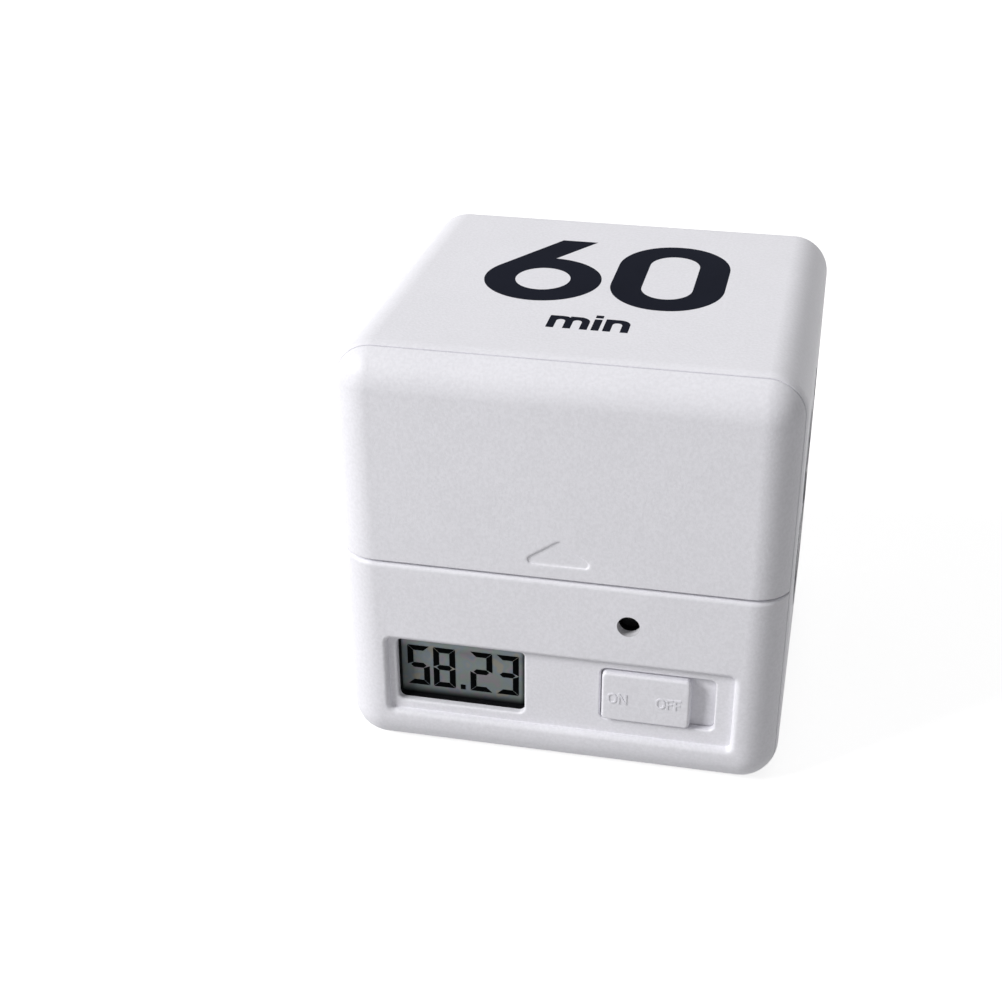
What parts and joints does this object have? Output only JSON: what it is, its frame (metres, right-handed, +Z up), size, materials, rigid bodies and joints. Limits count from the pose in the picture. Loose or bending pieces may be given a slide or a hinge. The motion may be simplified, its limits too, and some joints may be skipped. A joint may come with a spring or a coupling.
{
  "type": "visual countdown timer",
  "caption": "White cube countdown timer that starts when the side with the wanted minutes is turned up, with a small LCD, slide switch and sliding battery door.",
  "frame": {"origin": "middle of the face that the cube stands on, with the 60 minute side up", "axes": "+X to the right as seen from the front, +Y from the front to the back, +Z up"},
  "size_m": [0.06, 0.06, 0.06],
  "materials": {
    "white_plastic": "fine spark texture, matte",
    "print_ink": "matte pad-printed ink",
    "foam_gasket": "closed-cell foam",
    "display_film": "satin polarizer film",
    "display_glass": "clear",
    "display_reflector": "brushed reflector film",
    "display_segment": "dark liquid-crystal segments",
    "zebra_rubber": "striped conductive rubber",
    "board_laminate": "solder-masked glass laminate",
    "resin": "glossy potting resin",
    "black_plastic": "moulded",
    "ceramic_tan": "fired ceramic",
    "tinned_steel": "tin plated",
    "nickel_steel": "nickel plated",
    "capacitor_sleeve": "shrink sleeve",
    "buzzer_laminate": "bare laminate",
    "ferrite": "sintered magnet",
    "copper": "enamelled winding",
    "phenolic": "phenolic paper",
    "gold_contact": "gold flashed",
    "cell_sleeve": "printed shrink sleeve, unmarked",
    "wire_red": "PVC insulation",
    "wire_black": "PVC insulation"
  },
  "bodies": {
    "housing": {"rear_housing": "white_plastic", "front_housing": "white_plastic", "display_gasket": "foam_gasket", "display_polarizer": "display_film", "display_front_glass": "display_glass", "display_rear_glass": "display_glass", "display_reflector": "display_reflector", "display_holder": "white_plastic", "zebra_strip": "zebra_rubber", "circuit_board": "board_laminate", "processor_blob": "resin", "crystal_can": "tinned_steel", "chip_resistors": "resin", "chip_capacitors": "ceramic_tan", "driver_transistor": "resin", "filter_capacitor": "capacitor_sleeve", "buzzer_case": "black_plastic", "buzzer_base": "buzzer_laminate", "buzzer_diaphragm": "nickel_steel", "buzzer_magnet": "ferrite", "buzzer_core": "nickel_steel", "buzzer_coil": "copper", "buzzer_pins": "tinned_steel", "buzzer_gasket": "foam_gasket", "switch_cover": "nickel_steel", "switch_base": "phenolic", "switch_pins": "tinned_steel", "tilt_cans": "gold_contact", "tilt_bases": "black_plastic", "tilt_pins": "tinned_steel", "battery_upper": "cell_sleeve", "battery_lower": "cell_sleeve", "battery_springs": "nickel_steel", "series_contact": "nickel_steel", "positive_contact": "nickel_steel", "negative_contact": "nickel_steel", "wire_red": "wire_red", "wire_black": "wire_black", "case_screws": "nickel_steel", "board_screws": "nickel_steel"},
    "battery_door": {"battery_door": "white_plastic"},
    "power_switch": {"switch_knob": "white_plastic", "switch_lever": "black_plastic", "switch_contact": "gold_contact"},
    "tilt_ball_left": {"tilt_ball_left": "gold_contact"},
    "tilt_ball_right": {"tilt_ball_right": "gold_contact"}
  },
  "joints": [
    {"name": "door_slide", "type": "slide", "parent": "housing", "child": "battery_door", "axis": [0, 0, 1], "range_m": [0, 0.032]},
    {"name": "switch_slide", "type": "slide", "parent": "housing", "child": "power_switch", "axis": [1, 0, 0], "range_m": [0, 0.003]},
    {"name": "tilt_roll_left", "type": "slide", "parent": "housing", "child": "tilt_ball_left", "axis": [-0.7071, 0, 0.7071], "range_m": [0, 0.0026]},
    {"name": "tilt_roll_right", "type": "slide", "parent": "housing", "child": "tilt_ball_right", "axis": [0.7071, 0, 0.7071], "range_m": [0, 0.0026]}
  ]
}
